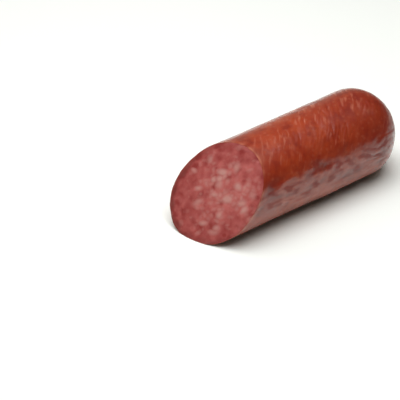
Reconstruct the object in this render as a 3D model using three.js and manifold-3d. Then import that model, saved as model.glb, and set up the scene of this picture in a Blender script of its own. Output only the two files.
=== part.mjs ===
// A piece of cured sausage, cut on the bias, lying on its side.
// It is a smoked casing, closed and gathered at one end, stuffed with a filling of cured minced meat.
// Millimetres, +Z up, X along the sausage: the cut faces -X and the closed end points to +X.
import * as THREE from "three";
import { mergeVertices } from "three/addons/utils/BufferGeometryUtils.js";
import Module from "manifold-3d";

// Driving dimensions
const RADIUS = 25; // outside of the casing
const LENGTH = 125.5; // along the axis, from the cut to the tip of the closed end
const FLAT_WIDTH = 14; // the sausage has settled under its own weight on a strip this wide
const CASING_WALL = 0.4; // dried casing with the rim of meat that clings to it
const FILLING_GAP = 0.3; // between casing and filling
const CUT_LEAN = 0.665; // how far the cut runs back along the axis for each mm of height
const CUT_SKEW = 0.312; // and for each mm towards the front
const TIP_RADIUS = 3.6; // the gathered end of the casing
const TIP_LENGTH = 2.6; // how far the gathered end stands out of the round end

// Fineness
const ROUND_STEPS = 64; // round the axis
const DOME_STEPS = 12; // from the round end's widest ring to its gathered tip
const TIP_STEPS = 4; // over the rounded end of the tip
const BARREL_STEPS = 5; // along the straight length

const AXIS_HEIGHT = Math.sqrt(RADIUS ** 2 - (FLAT_WIDTH / 2) ** 2);
const SPARE = 40; // how far the uncut stick and the cutting blocks run past the cut

const wasm = await Module();
wasm.setup();

/** A three.js geometry as a manifold-3d solid, for joining and cutting. */
function toSolid(geometry) {
  const bare = geometry.clone();
  bare.deleteAttribute("normal");
  bare.deleteAttribute("uv");
  const merged = mergeVertices(bare, 1e-4);
  const corners = merged.index.array;
  const kept = [];
  for (let i = 0; i < corners.length; i += 3) {
    const [a, b, c] = corners.slice(i, i + 3);
    if (a !== b && b !== c && c !== a) {
      kept.push(a, b, c);
    }
  }
  return new wasm.Manifold(
    new wasm.Mesh({
      numProp: 3,
      vertProperties: merged.attributes.position.array,
      triVerts: new Uint32Array(kept),
    }),
  );
}

/** A manifold-3d solid as a three.js geometry. */
function toGeometry(solid) {
  const { vertProperties, triVerts } = solid.getMesh();
  const geometry = new THREE.BufferGeometry();
  geometry.setAttribute("position", new THREE.BufferAttribute(vertProperties, 3));
  geometry.setIndex(new THREE.BufferAttribute(triVerts, 1));
  return geometry;
}

/**
 * The uncut stick as a turned solid along X, `inset` mm inside the casing's outer surface.
 * The closed end is half a ball. With a tip, the casing's gathered end stands out of it.
 */
function stick(inset, withTip) {
  const radius = RADIUS - inset;
  const domeCentre = LENGTH - TIP_LENGTH - RADIUS;
  const domeEnd = withTip ? Math.acos(TIP_RADIUS / radius) : Math.PI / 2;
  const profile = [new THREE.Vector2(0, -SPARE)];
  for (let i = 0; i < BARREL_STEPS; i++) {
    profile.push(new THREE.Vector2(radius, -SPARE + ((domeCentre + SPARE) * i) / BARREL_STEPS));
  }
  for (let i = 0; i <= DOME_STEPS; i++) {
    const angle = (domeEnd * i) / DOME_STEPS;
    const ring = i === DOME_STEPS && !withTip ? 0 : radius * Math.cos(angle);
    profile.push(new THREE.Vector2(ring, domeCentre + radius * Math.sin(angle)));
  }
  if (withTip) {
    const shoulder = domeCentre + radius * Math.sin(domeEnd);
    const round = LENGTH - shoulder;
    for (let i = 1; i <= TIP_STEPS; i++) {
      const angle = ((Math.PI / 2) * i) / TIP_STEPS;
      const ring = i === TIP_STEPS ? 0 : TIP_RADIUS * Math.cos(angle);
      profile.push(new THREE.Vector2(ring, shoulder + round * Math.sin(angle)));
    }
  }
  const turned = new THREE.LatheGeometry(profile, ROUND_STEPS);
  turned.rotateZ(-Math.PI / 2);
  turned.translate(0, 0, AXIS_HEIGHT);
  return toSolid(turned);
}

/** Everything above a level floor, `height` mm up. */
function aboveFloor(height) {
  const size = LENGTH + 4 * SPARE;
  const block = new THREE.BoxGeometry(size, size, size);
  block.translate(0, 0, height + size / 2);
  return toSolid(block);
}

/** Everything on the kept side of the bias cut, which passes through the axis at X = 0. */
function behindCut() {
  const size = LENGTH + 4 * SPARE;
  const intoSausage = new THREE.Vector3(1, CUT_SKEW, -CUT_LEAN).normalize();
  const block = new THREE.BoxGeometry(size, size, size);
  block.translate(size / 2, 0, 0);
  block.applyQuaternion(new THREE.Quaternion().setFromUnitVectors(new THREE.Vector3(1, 0, 0), intoSausage));
  block.translate(0, 0, AXIS_HEIGHT);
  return toSolid(block);
}

/** The stuffed shape at an inset: the stick, flattened where it rests and cut on the bias. */
function piece(inset, withTip) {
  return stick(inset, withTip).intersect(aboveFloor(inset)).intersect(behindCut());
}

/** The casing: a thin skin, open at the cut and gathered to a solid tip at the other end. */
function casingSolid() {
  const hollow = stick(CASING_WALL, false).intersect(aboveFloor(CASING_WALL));
  return piece(0, true).subtract(hollow);
}

/** The filling: the meat, which fills the casing and shows at the cut. */
function fillingSolid() {
  return piece(CASING_WALL + FILLING_GAP, false);
}

function node(name, solid, material) {
  const mesh = new THREE.Mesh(toGeometry(solid), new THREE.MeshStandardMaterial(material));
  mesh.name = name;
  return mesh;
}

const sausage = new THREE.Group();
sausage.add(
  node("casing", casingSolid(), { color: 0x953e28, roughness: 0.38, metalness: 0 }),
  node("filling", fillingSolid(), { color: 0xa95a56, roughness: 0.55, metalness: 0 }),
);

// The frame's origin is the middle of the footprint, on the surface that the sausage lies on.
const box = new THREE.Box3().setFromObject(sausage);
sausage.position.set(-(box.min.x + box.max.x) / 2, -(box.min.y + box.max.y) / 2, -box.min.z);

export default sausage;
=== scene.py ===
"""A piece of cured sausage, cut on the bias and lying on its side.

Its smoked casing is wrinkled, and gathered at one end. Its filling of cured mince shows at the cut.
Lengths are in metres, and in millimetres where a name or a comment says so.
"""

import math

import bmesh
import bpy
import numpy as np
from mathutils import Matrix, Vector, noise


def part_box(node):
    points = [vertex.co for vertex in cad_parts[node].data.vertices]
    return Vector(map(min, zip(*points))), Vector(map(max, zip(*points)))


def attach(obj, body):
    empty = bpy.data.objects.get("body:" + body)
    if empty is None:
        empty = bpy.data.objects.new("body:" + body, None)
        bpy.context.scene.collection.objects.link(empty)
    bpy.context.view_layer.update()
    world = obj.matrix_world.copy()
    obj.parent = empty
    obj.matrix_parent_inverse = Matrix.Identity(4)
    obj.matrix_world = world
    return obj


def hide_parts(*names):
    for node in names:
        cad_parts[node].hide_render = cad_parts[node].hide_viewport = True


MM = 0.001

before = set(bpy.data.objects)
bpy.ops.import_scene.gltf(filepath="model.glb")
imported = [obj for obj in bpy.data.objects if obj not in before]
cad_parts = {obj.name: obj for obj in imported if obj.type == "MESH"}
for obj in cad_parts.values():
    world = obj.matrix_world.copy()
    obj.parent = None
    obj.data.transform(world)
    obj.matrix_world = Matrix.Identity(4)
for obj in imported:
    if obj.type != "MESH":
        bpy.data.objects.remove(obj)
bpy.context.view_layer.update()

# The cut's slopes and the tip repeat the CAD model's own sizes. The others follow from its box.
CUT_LEAN = 0.665  # how far the cut runs back along the axis for each metre of height
CUT_SKEW = 0.312  # and for each metre towards the front
TIP_RADIUS = 3.6 * MM
TIP_LENGTH = 2.6 * MM
casing_low, casing_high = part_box("casing")
RADIUS = (casing_high.y - casing_low.y) / 2
AXIS_Z = casing_high.z - RADIUS
CUT_X = casing_low.x + RADIUS * math.hypot(CUT_LEAN, CUT_SKEW)  # where the cut crosses the axis
DOME_X = casing_high.x - TIP_LENGTH - RADIUS  # centre of the round end
INTO_X = 1 / math.sqrt(1 + CUT_LEAN**2 + CUT_SKEW**2)  # depth square to the cut for each metre along X

# The casing's wall, the gaps round the meat, and how the skin lies.
WALL = 0.15 * MM  # the casing itself, where its edge shows at the cut
DEEP_WALL = 1.8 * MM  # behind the cut the inner wall keeps clear of the wrinkles
THIN_REACH = 2.0  # the wall is thin as far behind the cut as this, in mm
DEEP_REACH = 6.0  # and deep from here on, in mm
RIM_SETBACK = 0.3  # the skin shrinks back from the knife's cut, in mm
RIM_DIP = 0.03  # the knife pressed the skin's edge in, in mm
RIM_GAP = 0.03 * MM  # between the casing's edge and the rim of the meat
BODY_GAP = 0.4 * MM  # between the deep wall and the meat
REST_GAP = 0.02 * MM  # between the casing's lowest wall and the meat
MEAT_SHOULDER = 9 * MM  # the meat narrows from its rim to its body over this length
DOME_FLATTENING = 0.05  # the closed end is this much flatter than half a ball
CRINKLE_LEAN = 0.65  # the fine crinkles lean back, by this much for each metre up round the skin

# Fineness: rings along the casing, steps round the axis, and cells across the cut face.
BARREL_RINGS = 190
DOME_RINGS = 52
TIP_RINGS = 8
INNER_DOME_RINGS = 10
ROUND_STEPS = 336
FACE_CELLS = 190
BODY_STATIONS = 4  # rings of the meat's body between the cut and the round end
BODY_DOME_DEGREES = (18, 36, 54, 70, 82)  # and over the round end

SHARP_CORNER = math.radians(60)  # edges bent more than this are corners
SAME_POINT = 0.001 * MM  # points nearer than this are one


def smoothstep(low, high, value):
    t = np.clip((value - low) / (high - low), 0.0, 1.0)
    return t * t * (3 - 2 * t)


def noise_at(points, scale, offset=0.0):
    """Smooth noise from about -1 to 1 at points in mm.

    scale is its cell size in mm, one for all axes or one for each. Another offset gives another pattern.
    """
    scaled = points / np.asarray(scale) + offset
    return np.array([noise.noise(p) for p in scaled])


def linear(code):
    """An sRGB hex colour as linear RGBA."""
    channels = [int(code[i : i + 2], 16) / 255 for i in (1, 3, 5)]
    return [c / 12.92 if c <= 0.04045 else ((c + 0.055) / 1.055) ** 2.4 for c in channels] + [1.0]


def coordinates(mesh):
    found = np.empty(len(mesh.vertices) * 3)
    mesh.vertices.foreach_get("co", found)
    return found.reshape(-1, 3)


def set_coordinates(mesh, points):
    mesh.vertices.foreach_set("co", points.ravel())
    mesh.update()


def set_attribute(mesh, name, values):
    mesh.attributes.new(name, "FLOAT", "POINT").data.foreach_set("value", values.astype(np.float32))


# Shape shared by casing and meat


def cut_share(x):
    """How much of the cut's slope a ring at x takes: 1 at the cut, and 0 from the start of the round end."""
    return np.clip((DOME_X - x) / (DOME_X - CUT_X), 0.0, 1.0)


def bias(points):
    """Shears points along X, so that the ring at the cut lies in the bias cut.

    The knife left the cut a little uneven.
    """
    across = points[:, 1:] / MM
    wobble = 0.35 * noise_at(np.column_stack([across, np.zeros(len(across))]), 14, 40.0)
    sheared = points.copy()
    slope = CUT_LEAN * points[:, 2] - CUT_SKEW * points[:, 1]
    sheared[:, 0] += cut_share(points[:, 0]) * (slope + wobble * MM)
    return sheared


def skin_over(points, leaning):
    """The skin outside each point, in mm. X is along the skin's own length, so it runs in to the tip."""
    ring = np.maximum(np.hypot(points[:, 1], points[:, 2]), 1e-6)
    round_part = np.maximum(points[:, 0] - DOME_X, 0)
    along = np.where(round_part > 0, DOME_X + RADIUS * np.arctan2(round_part, ring), leaning[:, 0])
    around = points[:, 1:] / ring[:, None] * RADIUS
    return np.column_stack([along, around]) / MM


def along_skin(skin):
    """0 at the cut on the axis, 1 where the round end starts, and more beyond it."""
    return (skin[:, 0] * MM - CUT_X) / (DOME_X - CUT_X)


def setback(skin):
    """How far the skin has shrunk back from the knife's cut, in mm, a little unevenly round the rim."""
    around = skin * (0, 1, 1)
    return RIM_SETBACK + 0.22 * noise_at(around, 5.0, 51.0) + 0.16 * noise_at(around, 1.8, 53.0)


def swell(skin):
    """How far the stuffed sausage bulges or sinks from a true cylinder, in metres."""
    towards_top = np.clip(skin[:, 2] * MM / RADIUS, 0, 1)
    along = along_skin(skin)
    fuller = 1.1 * smoothstep(0.45, 1.0, along) * smoothstep(1.6, 1.0, along)
    fuller -= 0.35 * smoothstep(0.5, 0.1, along)
    downwards = -skin[:, 2] * MM / RADIUS
    sagging = 0.7 * smoothstep(0.1, 0.7, downwards) * smoothstep(1.0, 0.8, downwards)
    uneven = 0.35 * noise_at(skin, 26) + 0.2 * noise_at(skin, 12, 5.0)
    return (towards_top * fuller + sagging + uneven) * MM


def keep_corners(bm):
    """Marks the corners at the cut as sharp, so that they are not shaded as if they were rounded."""
    for edge in bm.edges:
        edge.smooth = edge.calc_face_angle(0.0) < SHARP_CORNER


# Casing


def sweep(bm, vert, steps, **turn):
    """Draws the profile on from its last point, along a line or an arc, and returns the new last point."""
    drawn = bmesh.ops.spin(bm, geom=[vert], steps=steps, **turn)
    return next(g for g in drawn["geom_last"] if isinstance(g, bmesh.types.BMVert))


def casing_shell():
    """The casing turned about X: a fine outer wall, and a plain inner wall that closes on it at the cut."""
    bm = bmesh.new()
    rim = bm.verts.new((CUT_X, 0, RADIUS))
    round_axis = {"cent": (DOME_X, 0, 0), "axis": (0, 1, 0)}
    end = sweep(bm, rim, BARREL_RINGS, axis=(1, 0, 0), dvec=((DOME_X - CUT_X) / BARREL_RINGS, 0, 0))
    end = sweep(bm, end, DOME_RINGS, angle=math.acos(TIP_RADIUS / RADIUS), **round_axis)
    nub_centre = (end.co.x, 0, 0)
    end = sweep(bm, end, TIP_RINGS, angle=math.pi / 2, cent=nub_centre, axis=(0, 1, 0))
    end.co = (casing_high.x, 0, 0)
    inner = rim
    inner_stations = (
        (0, WALL, 1),
        (THIN_REACH * MM, WALL, 4),
        (DEEP_REACH * MM, DEEP_WALL, 6),
        (DOME_X - CUT_X, DEEP_WALL, 12),
    )
    for behind, wall, steps in inner_stations:
        step = Vector((CUT_X + behind, 0, RADIUS - wall)) - inner.co
        inner = sweep(bm, inner, steps, axis=(1, 0, 0), dvec=step / steps)
    end = sweep(bm, inner, INNER_DOME_RINGS, angle=math.pi / 2, **round_axis)
    end.co.z = 0
    bmesh.ops.spin(
        bm,
        geom=bm.verts[:] + bm.edges[:],
        cent=(0, 0, 0),
        axis=(1, 0, 0),
        angle=2 * math.pi,
        steps=ROUND_STEPS,
        use_merge=True,
    )
    bmesh.ops.remove_doubles(bm, verts=bm.verts[:], dist=SAME_POINT)
    bmesh.ops.recalc_face_normals(bm, faces=bm.faces[:])
    keep_corners(bm)
    mesh = bpy.data.meshes.new("wrinkled_casing")
    bm.to_mesh(mesh)
    bm.free()
    return mesh


def pads(points, scale, offset):
    """Soft rounded pads between narrow creases, from 0 in a crease to 1 on a pad."""
    return np.minimum(1.0, 2.6 * np.abs(noise_at(points, scale, offset))) ** 0.6


def wrinkles(skin, ring, behind_cut):
    """The wrinkles' height in mm, the painted shade in the creases, and how dry and how waxy the skin is,
    each from 0 to 1.
    """
    angle = np.arctan2(skin[:, 2], -skin[:, 1])  # 0 at the front, a quarter turn at the top
    along = along_skin(skin)
    wander = np.stack([noise_at(skin, 13, k) for k in (3.0, 7.0, 11.0)], 1)
    wander = 2.5 * wander + 0.6 * np.stack([noise_at(skin, 4.5, k) for k in (4.0, 8.0, 12.0)], 1)

    # Where each kind lies: the top is stuffed smooth, the rim is taut, and the underside is pressed flat.
    on_dome = smoothstep(1.0, 1.28, along)
    smooth_top = smoothstep(0.15, 0.75, angle) * smoothstep(2.7, 2.2, angle)
    underneath = smoothstep(0.0, -0.6, skin[:, 2] * MM / RADIUS)
    calm = 0.3 + 0.7 * smoothstep(0.3, 5.0, behind_cut)
    patch = np.clip(0.75 + 0.9 * noise_at(skin, (20, 12, 12), 13.0), 0.35, 1)
    folded = (1 - 0.93 * smooth_top) * patch * (1 - 0.5 * on_dome) * (1 - 0.8 * underneath)
    crinkled = smooth_top * (0.05 + 0.95 * smoothstep(0.2, 0.5, along)) * (1 - on_dome)
    crinkled *= np.clip(0.55 + 1.4 * noise_at(skin, (13, 8, 8), 17.0), 0, 1)
    gathered = smoothstep(0.62, 0.2, ring / RADIUS) * (along > 1)

    # Lengthwise folds on the sides, with narrow pleats between them that deepen towards the closed end.
    folds = noise_at(skin + wander, (9.0, 4.4, 4.4), 2.5)
    ripples = noise_at(skin + wander, (3.6, 2.0, 2.0), 1.5)
    creases = pads(skin + wander, (14.0, 3.4, 3.4), 9.5)
    pleats = 0.05 + 0.45 * smoothstep(0.7, 1.0, along)
    height = calm * folded * (0.5 * folds + 0.05 * ripples + pleats * (creases - 1) - 0.12)

    # Fine crinkles across the top, which lean back as they go up.
    leant = skin + 0.25 * wander - np.outer(CRINKLE_LEAN * angle * RADIUS / MM, (1, 0, 0))
    crosswise = pads(leant, (3.3, 12.0, 12.0), 4.5)
    height += calm * 0.26 * crinkled * (crosswise - 0.7)
    height += (0.03 + 0.05 * smoothstep(0.2, 0.5, along)) * noise_at(skin, (4.0, 6.0, 6.0), 19.0)

    # Pleats that run in to the gathered tip, and waves where the skin shrank back from the cut.
    height += 0.8 * gathered * (creases - 1)
    height += 0.14 * smoothstep(6.0, 0.5, behind_cut) * noise_at(skin * (0, 1, 1), 3.6, 57.0)
    # How much painted shade lies in the creases and pleats.
    crease = calm * folded * (0.3 - 1.0 * folds + 0.5 * (1 - creases)) + gathered * (1 - creases)

    # Dry spots break up the waxy film, and handling has rubbed it thin above the front.
    spots = noise_at(skin + 0.6 * wander, (5.6, 2.6, 2.6), 23.0)
    spots += 0.2 * noise_at(skin, (2.0, 1.2, 1.2), 27.0)
    dry = smoothstep(-0.02, 0.42, spots) * (1 - 0.8 * smooth_top) * (1 - 0.85 * underneath)
    rubbed = smoothstep(0.15, 0.75, angle) * smoothstep(2.0, 1.4, angle)
    film = (1 - 0.7 * dry) * (1 - 0.75 * rubbed) * (1 - 0.1 * underneath)
    return height, np.clip(crease, 0, 1), dry, film


def shape_casing(mesh):
    """Leans, swells and wrinkles the turned casing, and stores its painted crease shade and how dry and waxy
    it is.
    """
    points = coordinates(mesh)
    ring = np.hypot(points[:, 1], points[:, 2])
    round_part = np.maximum(points[:, 0] - DOME_X, 0)
    outer = np.hypot(round_part, ring) > RADIUS - WALL / 2
    leaning = bias(points)
    skin = skin_over(points, leaning)
    behind_cut = (leaning[:, 0] - CUT_X - CUT_LEAN * points[:, 2] + CUT_SKEW * points[:, 1]) / MM
    height, crease, dry, film = wrinkles(skin, ring, behind_cut)
    height -= RIM_DIP * smoothstep(1.6, 0.0, behind_cut) ** 2
    leaning[:, 0] -= DOME_FLATTENING * round_part
    outward = points.copy()
    outward[:, 0] = round_part
    outward /= np.maximum(np.linalg.norm(outward, axis=1), 1e-9)[:, None]
    wrinkled = np.where(outer, 1.0, smoothstep(DEEP_REACH, THIN_REACH, behind_cut))
    lift = swell(skin) + wrinkled * height * MM
    shaped = leaning + outward * lift[:, None]
    shaped[:, 0] += setback(skin) * MM * smoothstep(3.0, 0.0, behind_cut) ** 2
    shaped[:, 2] = np.maximum(shaped[:, 2] + AXIS_Z, np.where(outer, 0, WALL))
    set_coordinates(mesh, shaped)
    set_attribute(mesh, "crease", np.where(outer, crease, 0.0))
    set_attribute(mesh, "dry", np.where(outer, dry, 0.0))
    set_attribute(mesh, "film", film)

    # The meat's paler red shows through behind the cut, in a broken edge and a fainter zone past it.
    broken = np.clip(0.5 + 1.2 * noise_at(skin * (0, 1, 1), 4.0, 61.0), 0.1, 1)
    edge = 0.65 * smoothstep(1.9, 0.2, behind_cut) + 0.35 * smoothstep(6.0, 1.0, behind_cut)
    set_attribute(mesh, "edge", broken * edge)


# Meat

FACE_REACH = 31  # grains are scattered as far from the middle of the face as this, in mm
FACE_STRETCH = 1.2  # the bias cut makes the face this much taller, and grains are spread at true size on it


def meat_block():
    """The filling: a fine face at the cut, and a plain body that runs back inside the casing."""
    bm = bmesh.new()
    bmesh.ops.create_grid(bm, x_segments=FACE_CELLS, y_segments=FACE_CELLS, size=1)
    # The square grid becomes a round face, square to X.
    for v in bm.verts:
        a, b = v.co.x, v.co.y
        v.co = (0, a * math.sqrt(1 - b * b / 2), b * math.sqrt(1 - a * a / 2))
    rim = [e for e in bm.edges if e.is_boundary]
    radius = RADIUS - WALL - RIM_GAP
    bmesh.ops.scale(bm, vec=(1, radius, radius), verts=bm.verts[:])
    bmesh.ops.translate(bm, vec=(CUT_X, 0, 0), verts=bm.verts[:])
    body = RADIUS - DEEP_WALL - BODY_GAP
    stations = [(CUT_X + MEAT_SHOULDER, body)]
    for k in range(1, BODY_STATIONS + 1):
        stations.append((CUT_X + (DOME_X - CUT_X) * k / BODY_STATIONS, body))
    for angle in np.radians(BODY_DOME_DEGREES):
        stations.append((DOME_X + body * math.sin(angle), body * math.cos(angle)))
    size = radius
    x = CUT_X
    for next_x, next_size in stations:
        grown = bmesh.ops.extrude_edge_only(bm, edges=rim)["geom"]
        verts = [g for g in grown if isinstance(g, bmesh.types.BMVert)]
        rim = [g for g in grown if isinstance(g, bmesh.types.BMEdge)]
        bmesh.ops.scale(bm, vec=(1, next_size / size, next_size / size), verts=verts)
        bmesh.ops.translate(bm, vec=(next_x - x, 0, 0), verts=verts)
        x, size = next_x, next_size
    bmesh.ops.edgeloop_fill(bm, edges=rim)
    bmesh.ops.recalc_face_normals(bm, faces=bm.faces[:])
    keep_corners(bm)
    mesh = bpy.data.meshes.new("cut_meat")
    bm.to_mesh(mesh)
    bm.free()
    return mesh


def grains(points, count, small, large, seed):
    """Scattered grains from small to large mm: 1 in a grain's middle, fading out round its smeared edge."""
    rng = np.random.default_rng(seed)
    centres = rng.uniform(-FACE_REACH, FACE_REACH, (count, 2))
    turn = rng.uniform(0, math.pi, count)
    stretch = rng.uniform(1.0, 1.3, count)
    radius = small + (large - small) * rng.uniform(0, 1, count)
    strength = rng.uniform(0.6, 1.0, count)
    found = np.zeros(len(points))
    for centre, angle, long, size, pale in zip(centres, turn, stretch, radius, strength):
        near = np.flatnonzero(np.abs(points - centre).max(1) < 3.2 * size)
        offset = points[near] - centre
        u = offset[:, 0] * math.cos(angle) + offset[:, 1] * math.sin(angle)
        v = offset[:, 1] * math.cos(angle) - offset[:, 0] * math.sin(angle)
        reach = np.hypot(u / long, v * long) / size
        found[near] = np.maximum(found[near], pale * smoothstep(1.9, 0.0, reach))
    return found


def shape_meat(mesh):
    """Leans the meat, gives its face a cut's relief, and stores its fat, its lean, and its rim's drying and
    painted shade.
    """
    points = coordinates(mesh)
    ring = np.hypot(points[:, 1], points[:, 2])
    leaning = bias(points)
    mm = leaning / MM
    on_face = np.abs(points[:, 0] - CUT_X) < SAME_POINT
    inward = (RADIUS - ring) / MM
    face = points[on_face][:, [1, 2, 0]] / MM * (1, FACE_STRETCH, 0)
    drift = np.column_stack([noise_at(face, 2.8, 1.0), noise_at(face, 2.8, 5.0)])
    spread = face[:, :2] + 0.45 * drift

    # Fat: large pale grains, smaller ones at half strength and fine ones, thicker in front of and above the
    # centre.
    layers = [
        grains(spread, 50, 1.5, 2.3, 4),
        0.5 * grains(spread, 260, 0.9, 1.6, 8),
        0.18 * grains(spread, 400, 0.7, 1.1, 5),
    ]
    # The fat is thicker and the lean pinker round a spot a little in front of and above the face's centre,
    # so the face is paler there.
    middle = smoothstep(27, 6, np.hypot(face[:, 0] + 6, face[:, 1] - 3))
    richer = 0.6 + 0.5 * middle + 0.3 * noise_at(face, 12, 2.0)
    fat = np.zeros(len(points))
    fat[on_face] = np.clip(np.max(layers, axis=0) * richer + 0.3 * (richer - 0.8), 0, 1)

    # Lean: 0 is the darkest muscle and 1 the pinkest, with small dark scraps among it.
    lean = np.full(len(points), 0.5)
    lean[on_face] = 0.46 + 0.22 * middle + 0.25 * noise_at(face + drift[:, :1], 3.0, 6.0)
    lean[on_face] += 0.22 * noise_at(face, 6.0, 7.0)
    lean[on_face] -= 0.42 * grains(spread, 60, 0.8, 1.5, 12)

    # The face bulges, falls away at its rim, and stands proud where it is fatty or pink.
    shoulder = 0.22 * smoothstep(2.0, 0.0, inward) ** 2
    bulge = 0.9 * np.clip(1 - (ring / RADIUS) ** 2, 0, 1)
    relief = 0.08 * fat + 0.1 * (lean - 0.5)
    relief += 0.05 * noise_at(mm, 1.6, 3.0) + 0.16 * noise_at(mm, 5.0, 6.0)
    relief *= smoothstep(0.2, 1.6, inward)
    skin = skin_over(points, leaning)
    rim = 0.1 + 0.5 * (setback(skin) - RIM_SETBACK) * smoothstep(5.0, 0.0, inward)
    sunk = np.where(on_face, rim - 0.12 + shoulder - bulge - relief, 0) * MM
    shaped = leaning.copy()
    shaped[:, 0] += sunk / INTO_X

    # The rim follows the wrinkled skin over it.
    outward = points * (0, 1, 1) / np.maximum(ring, 1e-9)[:, None]
    rim_height = wrinkles(skin, ring, np.zeros(len(points)))[0] - RIM_DIP
    lift = swell(skin) * ring / RADIUS + rim_height * MM * smoothstep(8, 0, inward) * on_face
    shaped += outward * lift[:, None]
    shaped[:, 2] = np.maximum(shaped[:, 2] + AXIS_Z, WALL + REST_GAP)
    set_coordinates(mesh, shaped)
    set_attribute(mesh, "fat", fat)
    set_attribute(mesh, "lean", lean)
    # The rim is darker where it has dried, and painted shade makes it darker still towards the back and the
    # lower side.
    away = np.clip(0.4 + (0.6 * points[:, 1] - 0.3 * points[:, 2]) / RADIUS, 0.1, 1)
    set_attribute(mesh, "dried", away * smoothstep(3.8, 1.2, inward + 1.6 * noise_at(mm, 5.0, 33.0)))


# Finishes

PAPER_SIZE = 1.6  # the sheet of paper that the sausage lies on

# A Mix node for colours: its setting, and the numbers of its sockets.
OF_COLOURS = {"data_type": "RGBA"}
FACTOR, UNDER, OVER = 0, 6, 7
MIXED = 2

# Sizes of the markings on the skin and in the meat.
SMOKE_CLOUD = 14 * MM  # the smoke took more or less in clouds of this size
BAND_WIDTH = 3.4 * MM  # bands of stretched skin between two crinkles
BAND_LENGTH = 12 * MM
STAIN_SIZE = 6.5 * MM
STROKE_WIDTH = 2.5 * MM  # width of the painted glints along the crinkles' ridges
STROKE_LENGTH = 7 * MM
STROKE_CLUSTER = 16 * MM
SPECK_SPACING = 3.6 * MM  # from one fat grain under the skin to the next
SKIN_GRAIN = 1.0 * MM  # the real grain is finer than 0.2 mm, so it is drawn as coarse as it needs to show
PAINTED_SHADE_TOP = 9 * MM  # painted shade from the floor darkens the skin up to this height above it
PAINTED_SHADE_FULL = 3 * MM  # and is darkest up to this one
FIBRE_SIZE = 1.2 * MM  # bundles of muscle fibres


def add(tree, kind, settings=None, inputs=None):
    """Adds a shader node. inputs gives sockets, by name or number, a value or the socket that feeds them."""
    made = tree.nodes.new("ShaderNode" + kind)
    for key, value in (settings or {}).items():
        setattr(made, key, value)
    for key, value in (inputs or {}).items():
        if isinstance(value, bpy.types.NodeSocket):
            tree.links.new(value, made.inputs[key])
        else:
            made.inputs[key].default_value = value
    return made


def new_material(name):
    material = bpy.data.materials.new(name)
    material.use_nodes = True
    material.node_tree.nodes.clear()
    return material, material.node_tree


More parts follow.
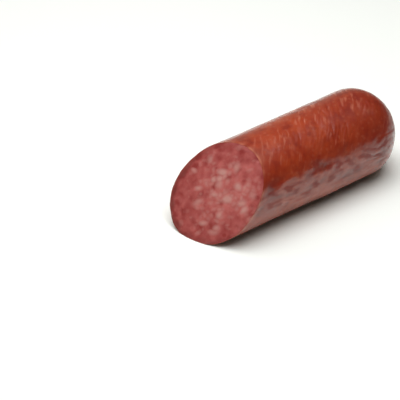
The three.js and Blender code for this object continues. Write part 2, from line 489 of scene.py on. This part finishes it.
def smoked_collagen():
    """Smoked collagen casing: a thin dried skin, waxy and slightly see-through.

    To the eye it is a deep red-brown, mottled by the smoke and by the fat under it, with a soft gloss that
    breaks up where the skin has dried.
    """
    material, tree = new_material("smoked_collagen_casing")
    place = add(tree, "TexCoord").outputs["Object"]
    axes = add(tree, "SeparateXYZ", inputs={0: place}).outputs

    # The skin unrolled: X along the sausage, leaning back with the crinkles, and Y up round it.
    height = add(tree, "Math", {"operation": "SUBTRACT"}, {0: axes["Z"], 1: AXIS_Z}).outputs[0]
    front = add(tree, "Math", {"operation": "MULTIPLY"}, {0: axes["Y"], 1: -1.0}).outputs[0]
    angle = add(tree, "Math", {"operation": "ARCTAN2"}, {0: height, 1: front}).outputs[0]
    around = add(tree, "Math", {"operation": "MULTIPLY"}, {0: angle, 1: RADIUS}).outputs[0]
    leant = add(
        tree,
        "Math",
        {"operation": "MULTIPLY_ADD"},
        {0: around, 1: -CRINKLE_LEAN, 2: axes["X"]},
    )
    unrolled = add(tree, "CombineXYZ", inputs={"X": leant.outputs[0], "Y": around}).outputs[0]
    across_bands = add(
        tree,
        "Mapping",
        inputs={"Vector": unrolled, "Scale": (1 / BAND_WIDTH, 1 / BAND_LENGTH, 1.0)},
    ).outputs[0]
    across_strokes = add(
        tree,
        "Mapping",
        inputs={
            "Vector": unrolled,
            "Scale": (1 / STROKE_WIDTH, 1 / STROKE_LENGTH, 1.0),
            "Location": (3.0, 7.0, 0),
        },
    ).outputs[0]

    # The markings: what each pattern lies on, its size there, its detail and its raggedness.
    markings = {}
    for name, vector, size, detail, raggedness in (
        ("smoke", place, SMOKE_CLOUD, 4.0, 0.6),
        ("band", across_bands, 1.0, 1.0, 0.4),
        ("stain", place, STAIN_SIZE, 2.0, 0.5),
        ("stroke", across_strokes, 1.0, 1.0, 0.4),
        ("cluster", place, STROKE_CLUSTER, 1.0, 0.4),
        ("grain", place, SKIN_GRAIN, 3.0, 0.55),
    ):
        pattern = add(
            tree,
            "TexNoise",
            inputs={"Vector": vector, "Scale": 1 / size, "Detail": detail, "Roughness": raggedness},
        )
        markings[name] = pattern.outputs["Fac"]
    speck = add(
        tree,
        "TexVoronoi",
        {"feature": "SMOOTH_F1"},
        {"Vector": place, "Scale": 1 / SPECK_SPACING, "Smoothness": 0.35},
    ).outputs["Distance"]
    crease = add(tree, "Attribute", {"attribute_name": "crease"}).outputs["Fac"]
    dry = add(tree, "Attribute", {"attribute_name": "dry"}).outputs["Fac"]
    edge = add(tree, "Attribute", {"attribute_name": "edge"}).outputs["Fac"]
    film = add(tree, "Attribute", {"attribute_name": "film"}).outputs["Fac"]

    # How much of each shows: what it is read from, from where to where, and its least and its most.
    share = {}
    for name, source, start, full, least, most in (
        ("smoke", markings["smoke"], 0.36, 0.66, 0.0, 1.0),
        ("roughness", markings["smoke"], 0.3, 0.7, 0.42, 0.55),
        ("band", markings["band"], 0.38, 0.66, 0.0, 0.42),
        ("stain", markings["stain"], 0.48, 0.7, 0.0, 0.6),
        ("stroke", markings["stroke"], 0.56, 0.72, 0.0, 1.0),
        ("cluster", markings["cluster"], 0.42, 0.6, 0.05, 0.95),
        ("speck", speck, 0.36, 0.1, 0.0, 0.3),
        ("crease", crease, 0.15, 0.8, 0.0, 0.6),
        ("off the lower side", height, -0.4 * RADIUS, 0.1 * RADIUS, 0.0, 1.0),
        ("upper side", height, 0.2 * RADIUS, 0.7 * RADIUS, 0.0, 1.0),
        # painted light bounced up from the paper onto the lower side
        ("lower side", height, 0.1 * RADIUS, -0.5 * RADIUS, 0.0, 0.22),
        # painted shade from the floor, low down on the skin
        ("painted_floor_shade", axes["Z"], PAINTED_SHADE_TOP, PAINTED_SHADE_FULL, 0.0, 0.85),
        ("behind the cut", axes["X"], 0.5 * CUT_X, -0.1 * CUT_X, 0.3, 1.0),
        ("closed end", axes["X"], 0.1 * DOME_X, DOME_X + RADIUS, 0.0, 0.72),
        ("tip", axes["X"], DOME_X + 0.5 * RADIUS, DOME_X + RADIUS, 0.0, 0.6),
    ):
        ranged = add(
            tree,
            "MapRange",
            inputs={
                "Value": source,
                "From Min": start,
                "From Max": full,
                "To Min": least,
                "To Max": most,
            },
        )
        share[name] = ranged.outputs["Result"]
    for name, of, also in (
        ("band zone", "off the lower side", "behind the cut"),
        ("banded", "band", "band zone"),
        # The painted glints fall in clusters on the upper side, and fade towards the cut.
        ("upper clusters", "upper side", "cluster"),
        ("stroke zone", "upper clusters", "behind the cut"),
        ("painted_glints", "stroke", "stroke zone"),
    ):
        product = add(tree, "Math", {"operation": "MULTIPLY"}, {0: share[of], 1: share[also]})
        share[name] = product.outputs[0]
    spotted = add(tree, "Math", {"operation": "MULTIPLY"}, {0: dry, 1: 0.65}).outputs[0]

    # The colours, each laid over those before it.
    colour = linear("#86240d")  # heavily smoked skin
    for laid, code in (
        (share["smoke"], "#9b360f"),  # lightly smoked skin
        (share["banded"], "#a44422"),  # stretched bands
        (share["stain"], "#731b0a"),  # dark stains
        (share["closed end"], "#6a140b"),  # the closed end, which dried the most
        (share["tip"], "#a04a34"),  # the skin round its tip, which is dusty
        (share["painted_glints"], "#b96c54"),  # painted glints on the crinkles' ridges
        (share["speck"], "#a4543c"),  # fat under the skin
        (share["lower side"], "#c05a20"),  # painted light bounced up from the paper onto the lower side
        (share["crease"], "#5a150c"),  # painted shade in the bottoms of the creases
        (spotted, "#7a1a08"),  # dry spots
        (share["painted_floor_shade"], "#5a4436"),  # painted shade where the skin lies close to the floor
        (edge, "#b06049"),  # the meat's red behind the cut
    ):
        mix = add(tree, "Mix", OF_COLOURS, {FACTOR: laid, UNDER: colour, OVER: linear(code)})
        colour = mix.outputs[MIXED]

    bump = add(
        tree,
        "Bump",
        inputs={"Height": markings["grain"], "Distance": 0.08 * MM, "Strength": 0.3},
    ).outputs["Normal"]
    shader = add(
        tree,
        "BsdfPrincipled",
        inputs={
            "Base Color": colour,
            "Roughness": share["roughness"],
            "IOR": 1.33,
            "Coat Weight": film,
            "Coat Roughness": 0.24,
            "Coat IOR": 1.6,
            "Coat Normal": bump,
            "Subsurface Weight": 0.1,
            "Subsurface Radius": (2.5 * MM, 0.7 * MM, 0.4 * MM),
            "Subsurface Scale": 1.0,
            "Normal": bump,
        },
    )
    add(tree, "OutputMaterial", inputs={"Surface": shader.outputs["BSDF"]})
    return material


def cured_mince():
    """Cured minced pork, sliced with a knife: moist, dense and slightly see-through.

    To the eye it is dark and mid-pink lean with pale smeared fat. It is glossier where it is fatty, and
    darker round its dry rim, with painted shade that darkens the rim more at the back and the lower side.
    """
    material, tree = new_material("cured_minced_pork")
    place = add(tree, "TexCoord").outputs["Object"]
    lean = add(tree, "Attribute", {"attribute_name": "lean"}).outputs["Fac"]
    fat = add(tree, "Attribute", {"attribute_name": "fat"}).outputs["Fac"]
    dried = add(tree, "Attribute", {"attribute_name": "dried"}).outputs["Fac"]
    fibres = add(
        tree,
        "TexNoise",
        inputs={"Vector": place, "Scale": 1 / FIBRE_SIZE, "Detail": 3.0, "Roughness": 0.5},
    ).outputs["Fac"]

    # The fibres fray the borders of the lean and, half as much, of the fat.
    frayed = add(
        tree,
        "Math",
        {"operation": "MULTIPLY_ADD"},
        {0: fibres, 1: 0.22, 2: -0.11},
    ).outputs[0]
    shade = add(tree, "Math", {"operation": "ADD"}, {0: lean, 1: frayed}).outputs[0]
    smeared = add(tree, "Math", {"operation": "MULTIPLY_ADD"}, {0: frayed, 1: 0.5, 2: fat}).outputs[0]
    pink = add(tree, "MapRange", inputs={"Value": shade, "From Min": 0.2, "From Max": 0.8})
    pale = add(tree, "MapRange", inputs={"Value": smeared, "From Min": 0.1, "From Max": 0.95})
    rim = add(tree, "Math", {"operation": "MULTIPLY"}, {0: dried, 1: 0.8})

    # The colours, each laid over those before it.
    colour = linear("#8e2f2c")  # dark muscle
    for laid, code in (
        (pink.outputs["Result"], "#b65e59"),  # pink muscle
        (pale.outputs["Result"], "#bf8880"),  # fat
        (rim.outputs[0], "#74241e"),  # the dry rim, with painted shade on its back and lower side
    ):
        mix = add(tree, "Mix", OF_COLOURS, {FACTOR: laid, UNDER: colour, OVER: linear(code)})
        colour = mix.outputs[MIXED]

    bump = add(tree, "Bump", inputs={"Height": fibres, "Distance": 0.1 * MM, "Strength": 0.3})
    gloss = add(tree, "MapRange", inputs={"Value": fat, "To Min": 0.5, "To Max": 0.36})
    shader = add(
        tree,
        "BsdfPrincipled",
        inputs={
            "Base Color": colour,
            "Roughness": gloss.outputs["Result"],
            "IOR": 1.45,
            "Subsurface Weight": 0.2,
            "Subsurface Radius": (2.0 * MM, 0.7 * MM, 0.5 * MM),
            "Subsurface Scale": 1.0,
            "Normal": bump.outputs["Normal"],
        },
    )
    add(tree, "OutputMaterial", inputs={"Surface": shader.outputs["BSDF"]})
    return material


def white_paper():
    """Uncoated white paper: matt and even. Well away from the sausage it fades into white surroundings."""
    material, tree = new_material("white_paper")
    paper = add(tree, "BsdfPrincipled", inputs={"Base Color": linear("#f3f7f3"), "Roughness": 0.9})
    place = add(tree, "TexCoord").outputs["Object"]
    away = add(tree, "VectorMath", {"operation": "LENGTH"}, {0: place})
    faded = add(
        tree,
        "MapRange",
        {"interpolation_type": "SMOOTHSTEP"},
        {"Value": away.outputs["Value"], "From Min": PAPER_SIZE / 4, "From Max": PAPER_SIZE / 2},
    )
    clear = add(tree, "BsdfTransparent")
    sheet = add(
        tree,
        "MixShader",
        inputs={0: faded.outputs[0], 1: paper.outputs[0], 2: clear.outputs[0]},
    )
    add(tree, "OutputMaterial", inputs={"Surface": sheet.outputs["Shader"]})
    return material


# Assembly


def finish_piece(mesh, material, node):
    mesh.materials.append(material)
    mesh.shade_smooth()
    piece = bpy.data.objects.new(mesh.name, mesh)
    bpy.context.scene.collection.objects.link(piece)
    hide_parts(node)
    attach(piece, "root")


casing_mesh = casing_shell()
shape_casing(casing_mesh)
finish_piece(casing_mesh, smoked_collagen(), "casing")

meat_mesh = meat_block()
shape_meat(meat_mesh)
finish_piece(meat_mesh, cured_mince(), "filling")


# Floor, light and camera

# Soft lights: how far back and to the left each stands, in degrees, and its power in watts.
SOFTBOXES = (
    ("overhead", -6, 6, 6.3),
    ("back", 28, 5, 2.3),
)
LIGHT_DISTANCE = 0.75
LIGHT_SIZE = 0.7
FILL = 0.04  # brightness of the surroundings
GLOW = 0.42  # brightness that the wall behind adds
GLOW_FADES = 0.35  # the sine of the elevation from which the wall's glow fades
GLOW_ENDS = 0.6  # and at which it ends
CAMERA_AZIMUTH = math.radians(-37.4)
CAMERA_ELEVATION = math.radians(35)
CAMERA_DISTANCE = 0.863
CAMERA_LENS = 144  # mm
AIM_RIGHT = -8.7 * MM  # from the middle of the cut
AIM_UP = -3.7 * MM


def add_floor():
    bm = bmesh.new()
    bmesh.ops.create_grid(bm, x_segments=1, y_segments=1, size=PAPER_SIZE / 2)
    mesh = bpy.data.meshes.new("floor")
    bm.to_mesh(mesh)
    bm.free()
    mesh.materials.append(white_paper())
    floor = bpy.data.objects.new("floor", mesh)
    bpy.context.scene.collection.objects.link(floor)


def add_softbox(name, back, left, power):
    """A square soft light above the sausage, turned back and to the left by these angles in degrees."""
    direction = Vector((-math.tan(math.radians(left)), math.tan(math.radians(back)), 1)).normalized()
    light = bpy.data.lights.new(name, "AREA")
    light.size = LIGHT_SIZE
    light.energy = power
    lamp = bpy.data.objects.new(name, light)
    lamp.location = direction * LIGHT_DISTANCE
    lamp.rotation_mode = "QUATERNION"
    lamp.rotation_quaternion = (-direction).to_track_quat("-Z", "Y")
    bpy.context.scene.collection.objects.link(lamp)


def add_studio():
    """Dim warm surroundings, with a paler wall low down behind. The camera sees them as plain white."""
    world = bpy.data.worlds.new("studio")
    world.use_nodes = True
    tree = world.node_tree
    tree.nodes.clear()
    direction = add(tree, "SeparateXYZ", inputs={0: add(tree, "TexCoord").outputs["Generated"]})
    low = add(
        tree,
        "MapRange",
        inputs={
            "Value": direction.outputs["Z"],
            "From Min": GLOW_FADES,
            "From Max": GLOW_ENDS,
            "To Min": GLOW,
            "To Max": 0.0,
        },
    )
    behind = add(tree, "Math", {"operation": "MAXIMUM"}, {0: direction.outputs["Y"], 1: 0.0})
    wall = add(
        tree,
        "Math",
        {"operation": "MULTIPLY_ADD"},
        {0: behind.outputs[0], 1: low.outputs[0], 2: FILL},
    )
    surroundings = add(
        tree,
        "Background",
        inputs={"Color": linear("#ffe4cc"), "Strength": wall.outputs[0]},
    )
    seen = add(tree, "Background", inputs={"Color": linear("#ffffff"), "Strength": 1.0})
    chosen = add(
        tree,
        "MixShader",
        inputs={
            0: add(tree, "LightPath").outputs["Is Camera Ray"],
            1: surroundings.outputs["Background"],
            2: seen.outputs["Background"],
        },
    )
    add(tree, "OutputWorld", inputs={"Surface": chosen.outputs["Shader"]})
    bpy.context.scene.world = world


def add_camera():
    back = Vector(
        (
            math.sin(CAMERA_AZIMUTH) * math.cos(CAMERA_ELEVATION),
            -math.cos(CAMERA_AZIMUTH) * math.cos(CAMERA_ELEVATION),
            math.sin(CAMERA_ELEVATION),
        )
    )
    right = Vector((math.cos(CAMERA_AZIMUTH), math.sin(CAMERA_AZIMUTH), 0))
    up = back.cross(right)
    aim = Vector((CUT_X, 0, AXIS_Z)) + right * AIM_RIGHT + up * AIM_UP
    data = bpy.data.cameras.new("camera")
    data.lens = CAMERA_LENS
    camera = bpy.data.objects.new("camera", data)
    camera.location = aim + back * CAMERA_DISTANCE
    camera.rotation_mode = "QUATERNION"
    camera.rotation_quaternion = (-back).to_track_quat("-Z", "Y")
    bpy.context.scene.collection.objects.link(camera)
    bpy.context.scene.camera = camera


add_floor()
add_studio()
for name, back, left, power in SOFTBOXES:
    add_softbox(name, back, left, power)
add_camera()
bpy.context.scene.view_settings.view_transform = "Standard"
